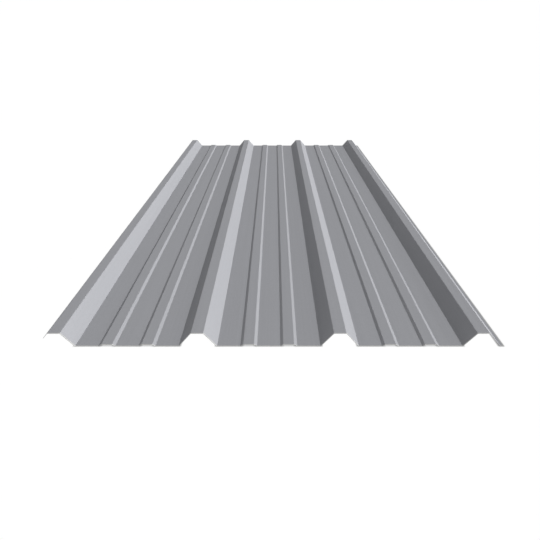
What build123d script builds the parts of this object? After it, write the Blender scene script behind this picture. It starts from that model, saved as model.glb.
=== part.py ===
from build123d import *
import math
import os

# Roll-formed roofing and walling sheet. Millimetres, +Z up.
# X runs across the sheet, Y along its ribs, and the middle pan rests on Z = 0.
# The weather side is the upper one, and the section is laid out on it.

# Sheet: 20 gauge steel, 7 ft long
sheet_length = 2133.6
sheet_thickness = 1.0
inside_bend_radius = 2.0

# Tall ribs: 12 in apart and 1-1/4 in high
rib_pitch = 304.8
rib_height = 31.75
rib_top_width = 27.4
rib_base_width = 82.0

# Low stiffening ribs, two to a pan
minor_spacing = 86.2
minor_height = 3.5
minor_top_width = 23.5
minor_base_width = 36.1

# Lapping edge: a short lip in place of the first rib's outer leg
lip_drop = 12.0

# Lapped edge: a whole leg and a narrow foot, small enough to go under the next sheet's first rib
foot_width = 8.5
lap_clearance = 0.1

os.makedirs("parts", exist_ok=True)

# Heights of the weather side
pan_level = sheet_thickness
minor_level = pan_level + minor_height
crest_level = pan_level + rib_height

# Half widths and places across the sheet
half_top = rib_top_width / 2
half_base = rib_base_width / 2
half_minor_top = minor_top_width / 2
half_minor_base = minor_base_width / 2
inner_rib = rib_pitch / 2
outer_rib = inner_rib + rib_pitch

# Legs: the lip takes their slope, and the lapped rib is drawn in by what its own thickness needs
leg_run = half_base - half_top
leg_angle = math.atan2(rib_height, leg_run)
lip_run = leg_run * lip_drop / rib_height
lap_inset = sheet_thickness * math.tan(leg_angle / 2) + lap_clearance

outside_bend_radius = inside_bend_radius + sheet_thickness


def rib_points(middle, inset=0):
    """Weather-side corners of a tall rib, from its left foot to its right foot."""
    return [
        (middle - half_base + inset, pan_level),
        (middle - half_top + inset, crest_level),
        (middle + half_top - inset, crest_level),
        (middle + half_base - inset, pan_level),
    ]


def pan_points(middle):
    """Weather-side corners of the two low ribs in the pan around this middle."""
    corners = []
    for minor_middle in (middle - minor_spacing / 2, middle + minor_spacing / 2):
        corners.append((minor_middle - half_minor_base, pan_level))
        corners.append((minor_middle - half_minor_top, minor_level))
        corners.append((minor_middle + half_minor_top, minor_level))
        corners.append((minor_middle + half_minor_base, pan_level))
    return corners


# The section, from the lip's tip on the left to the foot's tip on the right
lapping_rib = rib_points(-outer_rib)[1:]
lapped_rib = rib_points(outer_rib, inset=lap_inset)
lip_tip = (-outer_rib - half_top - lip_run, crest_level - lip_drop)
foot_tip = (outer_rib + half_base - lap_inset + foot_width, pan_level)

section_points = [lip_tip]
section_points += lapping_rib
section_points += pan_points(-rib_pitch)
section_points += rib_points(-inner_rib)
section_points += pan_points(0)
section_points += rib_points(inner_rib)
section_points += pan_points(rib_pitch)
section_points += lapped_rib
section_points += [foot_tip]

# Sheet: one bent strip of constant thickness, run the whole length
with BuildPart() as corrugated_sheet:
    with BuildSketch(Plane.XZ):
        with BuildLine() as weather_side:
            Polyline(*section_points)

            # Bends between the tips. Those at pan level are hollow on the weather side
            # and have the inside radius there, and all the others are proud of it.
            bends = weather_side.vertices().sort_by(Axis.X)[1:-1]
            hollow_bends = bends.group_by(Axis.Y)[0]
            proud_bends = bends - hollow_bends
            fillet(hollow_bends, radius=inside_bend_radius)
            fillet(proud_bends, radius=outside_bend_radius)
            offset(amount=sheet_thickness, side=Side.RIGHT)
        make_face()
    extrude(amount=sheet_length / 2, both=True)

corrugated_sheet.part.label = "corrugated_sheet"
export_step(corrugated_sheet.part, "parts/corrugated_sheet.step")
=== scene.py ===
"""Looks of the corrugated sheet: coil-coated steel on a white floor, in soft studio light."""

import math

import bpy
from mathutils import Euler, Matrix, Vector


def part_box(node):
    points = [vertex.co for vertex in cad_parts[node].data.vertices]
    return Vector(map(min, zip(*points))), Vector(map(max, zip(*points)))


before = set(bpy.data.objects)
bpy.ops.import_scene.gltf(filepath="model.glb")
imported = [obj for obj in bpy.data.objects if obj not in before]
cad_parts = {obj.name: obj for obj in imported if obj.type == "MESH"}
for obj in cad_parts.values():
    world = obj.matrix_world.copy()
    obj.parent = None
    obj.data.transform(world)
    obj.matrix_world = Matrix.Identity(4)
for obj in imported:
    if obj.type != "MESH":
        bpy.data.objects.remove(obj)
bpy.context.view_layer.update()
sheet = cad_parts["corrugated_sheet"]
sheet_low, sheet_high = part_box("corrugated_sheet")

# Camera, in metres to the right of the middle pan's middle, back from the sheet's front end and
# above the floor, and in degrees down from level
CAMERA_SIDE = 0.01206
CAMERA_BACK = 0.92031
CAMERA_HEIGHT = 0.61169
CAMERA_PITCH = 25.064
LENS_MM = 33.912
SENSOR_MM = 36.0

# The photograph's width, and the column where the camera's axis meets it, in pixels
PHOTO_WIDTH_PX = 540
AXIS_COLUMN_PX = 274.33

# White, and a level just past it, so that rounding leaves no grey in the ground or near the horizon
WHITE = (1.0, 1.0, 1.0, 1.0)
FLOOR_LEVEL = 1.005
HORIZON_LEVEL = 1.005

# Sky: dimmer overhead. It dims over a band of heights, each the sine of an elevation
SKY_LEVEL = 0.376
HORIZON_BAND = (0.22, 0.50)

# Side light: its elevation and its spread, in degrees
SUN_ELEVATION = 24.38
SUN_SPREAD = 40
SUN_STRENGTH = 4.747

# Floor: its width in metres, how far the sheet's contact shadow reaches, and the rays that find it
FLOOR_SIZE = 120.0
CONTACT_REACH = 0.0045
CONTACT_RAYS = 16

# Finishes: paint on the weather side, a paler primer under it and on the underside, and bare
# zinc-coated steel where it is cut
PAINT_COLOUR = (0.2655, 0.2690, 0.2855)
PRIMER_COLOUR = (0.40, 0.40, 0.388)
STEEL_COLOUR = (0.40, 0.40, 0.41)
PAINT_ROUGHNESS = 0.82
PRIMER_ROUGHNESS = 0.75
STEEL_ROUGHNESS = 0.38
SPECULAR_LEVEL = 0.10

# Marks in the finish: their size across the sheet, along it and in height, in metres, and the
# number of finer noises laid over each
MARKS = {
    "grain": ((0.0024, 0.0024, 0.0024), 3.0),
    "streak": ((0.0050, 0.60, 0.0050), 3.0),
    "cloud": ((0.11, 0.32, 0.11), 2.0),
    "shear": ((0.0003, 0.0003, 0.004), 2.0),
    "peel": ((0.0008, 0.0009, 0.0008), 2.0),
    "wave": ((0.085, 0.24, 0.085), 1.0),
}

# How far the marks move the colour and the roughness, as shares, and the surface, in metres
GRAIN_SHARE = 0.075
STREAK_SHARE = 0.045
CLOUD_SHARE = 0.008
SHEAR_SHARE = 0.25
ROUGHNESS_SHARE = 0.12
PEEL_DEPTH = 0.000016
WAVE_DEPTH = 0.00012

# Bends and low legs: their paint is made paler there, which is painted light that lifts their tone as
# if more light fell on them, and the forming rolls' burnish makes them smoother. The mask sets in
# over one band of the normal's sideways share, and goes out over another
LIGHT_AND_BURNISH_SETS_IN = (0.0, 0.15)
LIGHT_AND_BURNISH_GOES_OUT = (0.60, 0.74)
PAINTED_LIGHT_PALER = 0.09
WORKED_SMOOTHER = 0.12

# Rim along the cut edges, where the paint is worn back to the primer: how far in from the edge the
# wear begins to fade and where it ends, and how ragged that is, in metres
RIM_BAND = (0.0014, 0.0026)
RIM_RAGGED = 0.0004

# Cut faces: how far in from the left the lip's slit edge reaches, as a share of the sheet's height,
# and the share of the normal past which a face is the foot's slit edge or a sheared end
LIP_EDGE_SHARE = 0.03
FOOT_EDGE_FACING = 0.9
END_FACING = 0.5

# The Mix node's sockets for its two inputs and its result, for each kind of value that it mixes
MIX_SOCKETS = {"FLOAT": (2, 3, 0), "RGBA": (6, 7, 2)}


def new_material(name):
    """A material with an empty node tree, and that tree."""
    material = bpy.data.materials.new(name)
    material.use_nodes = True
    material.node_tree.nodes.clear()
    return material, material.node_tree


def add(tree, kind, inputs, **settings):
    """A node with these settings, whose inputs are each linked to a socket or set to a value."""
    node = tree.nodes.new("ShaderNode" + kind)
    for name, value in settings.items():
        setattr(node, name, value)
    for name, value in inputs.items():
        if isinstance(value, bpy.types.NodeSocket):
            tree.links.new(value, node.inputs[name])
        else:
            node.inputs[name].default_value = value
    return node


def math_node(tree, operation, first, second=0.0, third=0.0):
    """The result of one arithmetic step."""
    return add(tree, "Math", {0: first, 1: second, 2: third}, operation=operation).outputs[0]


def mix(tree, kind, factor, first, second):
    """The first value where the factor is 0, and the second where it is 1."""
    first_socket, second_socket, result = MIX_SOCKETS[kind]
    inputs = {"Factor": factor, first_socket: first, second_socket: second}
    return add(tree, "Mix", inputs, data_type=kind).outputs[result]


def ramp(tree, value, band, before, after):
    """A smooth change from one level before this band of values to another after it."""
    change = add(tree, "MapRange", {
        "Value": value,
        "From Min": band[0],
        "From Max": band[1],
        "To Min": before,
        "To Max": after,
    }, interpolation_type="SMOOTHSTEP")
    return change.outputs["Result"]


def pattern(tree, place, size, detail):
    """Noise with features of this size, brought from its own 0 to 1 to about -1 to 1."""
    scale = tuple(1.0 / length for length in size)
    scaled = add(tree, "VectorMath", {0: place, 1: scale}, operation="MULTIPLY").outputs[0]
    noise = add(tree, "TexNoise", {"Vector": scaled, "Scale": 1.0, "Detail": detail})
    return math_node(tree, "MULTIPLY_ADD", noise.outputs[0], 2.0, -1.0)


def sum_of(tree, terms, start=0.0):
    """start plus each value times its share."""
    total = start
    for value, share in terms:
        total = math_node(tree, "MULTIPLY_ADD", value, share, total)
    return total


def tinted(tree, colour, factor):
    """This colour, times a factor that varies over the surface."""
    return add(tree, "VectorMath", {0: colour, "Scale": factor}, operation="SCALE").outputs[0]


def bends_painted_light_and_burnish(tree, facing):
    """1 on the bends and the low ribs' legs, 0 on the flats and the tall ribs' legs: painted light in
    the colour, burnish in the roughness.
    """
    sideways = math_node(tree, "ABSOLUTE", facing.outputs["X"])
    rise = ramp(tree, sideways, LIGHT_AND_BURNISH_SETS_IN, 0.0, 1.0)
    fall = ramp(tree, sideways, LIGHT_AND_BURNISH_GOES_OUT, 1.0, 0.0)
    return math_node(tree, "MULTIPLY", rise, fall)


def cut_faces(tree, where, facing):
    """1 on the sheared ends and the two slit edges, 0 elsewhere."""
    lip_limit = sheet_low.x + (sheet_high.z - sheet_low.z) * LIP_EDGE_SHARE
    at_lip = math_node(tree, "LESS_THAN", where.outputs["X"], lip_limit)
    faces_down = math_node(tree, "LESS_THAN", facing.outputs["Z"], 0.0)
    faces_left = math_node(tree, "LESS_THAN", facing.outputs["X"], 0.0)
    lip_edge = math_node(tree, "MULTIPLY", at_lip, math_node(tree, "MULTIPLY", faces_down, faces_left))
    foot_edge = math_node(tree, "GREATER_THAN", facing.outputs["X"], FOOT_EDGE_FACING)
    along = math_node(tree, "ABSOLUTE", facing.outputs["Y"])
    ends = math_node(tree, "GREATER_THAN", along, END_FACING)
    return math_node(tree, "MAXIMUM", ends, math_node(tree, "MAXIMUM", lip_edge, foot_edge))


def worn_rim(tree, where, grain):
    """1 along the sheet's cut edges, as seen from above, and 0 further in."""
    along = math_node(tree, "ABSOLUTE", where.outputs["Y"])
    from_ends = math_node(tree, "SUBTRACT", sheet_high.y, along)
    from_foot = math_node(tree, "SUBTRACT", sheet_high.x, where.outputs["X"])
    from_lip = math_node(tree, "SUBTRACT", where.outputs["X"], sheet_low.x)
    inside = math_node(tree, "MINIMUM", from_ends, math_node(tree, "MINIMUM", from_foot, from_lip))
    ragged = sum_of(tree, ((grain, RIM_RAGGED),), start=inside)
    return ramp(tree, ragged, RIM_BAND, 1.0, 0.0)


def sheet_areas(tree, place, grain):
    """The areas that the finish tells apart, each 1 inside and 0 outside."""
    where = add(tree, "SeparateXYZ", {"Vector": place})
    normal = add(tree, "NewGeometry", {}).outputs["Normal"]
    facing = add(tree, "SeparateXYZ", {"Vector": normal})
    underside = math_node(tree, "LESS_THAN", facing.outputs["Z"], 0.0)
    return {
        "primer": math_node(tree, "MAXIMUM", underside, worn_rim(tree, where, grain)),
        "painted_light_and_burnish": bends_painted_light_and_burnish(tree, facing),
        "cut": cut_faces(tree, where, facing),
    }


def finish_colour(tree, areas, marks):
    """The colour of the paint, of the primer where that shows, or of the steel where it is cut."""
    shade = sum_of(tree, (
        (marks["grain"], GRAIN_SHARE),
        (marks["streak"], STREAK_SHARE),
        (marks["cloud"], CLOUD_SHARE),
        # Painted light: the bends and low legs are made paler, to lift their tone
        (areas["painted_light_and_burnish"], PAINTED_LIGHT_PALER),
    ), start=1.0)
    cut_shade = sum_of(tree, ((marks["shear"], SHEAR_SHARE),), start=1.0)
    paint = tinted(tree, PAINT_COLOUR, shade)
    primer = tinted(tree, PRIMER_COLOUR, shade)
    steel = tinted(tree, STEEL_COLOUR, cut_shade)
    coating = mix(tree, "RGBA", areas["primer"], paint, primer)
    return mix(tree, "RGBA", areas["cut"], coating, steel)


def finish_roughness(tree, areas, marks):
    """The roughness of the same three, as the marks and the worked bends shift it."""
    shift = sum_of(tree, (
        (marks["streak"], ROUGHNESS_SHARE),
        (marks["cloud"], ROUGHNESS_SHARE),
        (areas["painted_light_and_burnish"], -WORKED_SMOOTHER),
    ), start=1.0)
    coating = mix(tree, "FLOAT", areas["primer"], PAINT_ROUGHNESS, PRIMER_ROUGHNESS)
    roughness = mix(tree, "FLOAT", areas["cut"], coating, STEEL_ROUGHNESS)
    return math_node(tree, "MULTIPLY", roughness, shift)


def finish_relief(tree, marks):
    """The paint's orange peel and the sheet's slight waves, whose heights are in metres."""
    height = sum_of(tree, ((marks["peel"], PEEL_DEPTH), (marks["wave"], WAVE_DEPTH)))
    return add(tree, "Bump", {"Height": height, "Distance": 1.0, "Strength": 1.0}).outputs["Normal"]


def coated_steel():
    """Coil-coated steel: matt paint worn along its rim, with painted light on its bends, primer below,
    bare metal at the cuts.
    """
    material, tree = new_material("coated_steel")
    place = add(tree, "TexCoord", {}).outputs["Object"]
    marks = {name: pattern(tree, place, size, detail) for name, (size, detail) in MARKS.items()}
    areas = sheet_areas(tree, place, marks["grain"])
    shader = add(tree, "BsdfPrincipled", {
        "Base Color": finish_colour(tree, areas, marks),
        "Metallic": areas["cut"],
        "Roughness": finish_roughness(tree, areas, marks),
        "Normal": finish_relief(tree, marks),
        "Specular IOR Level": SPECULAR_LEVEL,
    })
    add(tree, "OutputMaterial", {"Surface": shader.outputs["BSDF"]})
    return material


def white_floor():
    """A glow as white under the ribs as beside the sheet, dimmed only where the sheet touches it."""
    material, tree = new_material("white_floor")
    contact = add(tree, "AmbientOcclusion", {"Distance": CONTACT_REACH}, samples=CONTACT_RAYS)
    level = math_node(tree, "MULTIPLY", contact.outputs["AO"], FLOOR_LEVEL)
    glow = add(tree, "Emission", {"Color": WHITE, "Strength": level})
    add(tree, "OutputMaterial", {"Surface": glow.outputs["Emission"]})
    return material


def make_floor():
    """A square of floor under the sheet, so wide that its edge is near the horizon."""
    half = FLOOR_SIZE / 2
    corners = [(-half, -half, 0), (half, -half, 0), (half, half, 0), (-half, half, 0)]
    mesh = bpy.data.meshes.new("floor")
    mesh.from_pydata(corners, [], [(0, 1, 2, 3)])
    mesh.materials.append(white_floor())
    floor = bpy.data.objects.new("floor", mesh)
    floor.location.z = sheet_low.z
    bpy.context.scene.collection.objects.link(floor)


def make_sky():
    """A pale dome, white near the horizon and dimmer overhead."""
    world = bpy.data.worlds.new("studio")
    world.use_nodes = True
    bpy.context.scene.world = world
    tree = world.node_tree
    tree.nodes.clear()
    direction = add(tree, "TexCoord", {}).outputs["Generated"]
    height = add(tree, "SeparateXYZ", {"Vector": direction}).outputs["Z"]
    level = ramp(tree, height, HORIZON_BAND, HORIZON_LEVEL, SKY_LEVEL)
    sky = add(tree, "Background", {"Color": WHITE, "Strength": level})
    add(tree, "OutputWorld", {"Surface": sky.outputs["Background"]})


def make_sun():
    """Low soft light from the right, which throws no shadow."""
    light = bpy.data.lights.new("side_light", "SUN")
    light.energy = SUN_STRENGTH
    light.angle = math.radians(SUN_SPREAD)
    light.use_shadow = False
    sun = bpy.data.objects.new("side_light", light)
    sun.rotation_euler = Euler((0, math.radians(90 - SUN_ELEVATION), 0))
    bpy.context.scene.collection.objects.link(sun)


def make_camera():
    """A camera at the photograph's viewing angle, shifted so that its axis meets the same column."""
    camera_data = bpy.data.cameras.new("camera")
    camera_data.sensor_width = SENSOR_MM
    camera_data.lens = LENS_MM
    camera_data.shift_x = (PHOTO_WIDTH_PX / 2 - AXIS_COLUMN_PX) / PHOTO_WIDTH_PX
    camera = bpy.data.objects.new("camera", camera_data)
    camera.location = Vector((CAMERA_SIDE, sheet_low.y - CAMERA_BACK, CAMERA_HEIGHT))
    camera.rotation_euler = Euler((math.radians(90 - CAMERA_PITCH), 0, 0))
    bpy.context.scene.collection.objects.link(camera)
    bpy.context.scene.camera = camera


sheet.material_slots[0].material = coated_steel()
make_floor()
make_sky()
make_sun()
make_camera()

# Standard keeps the plain tones that the photograph has
bpy.context.scene.view_settings.view_transform = "Standard"
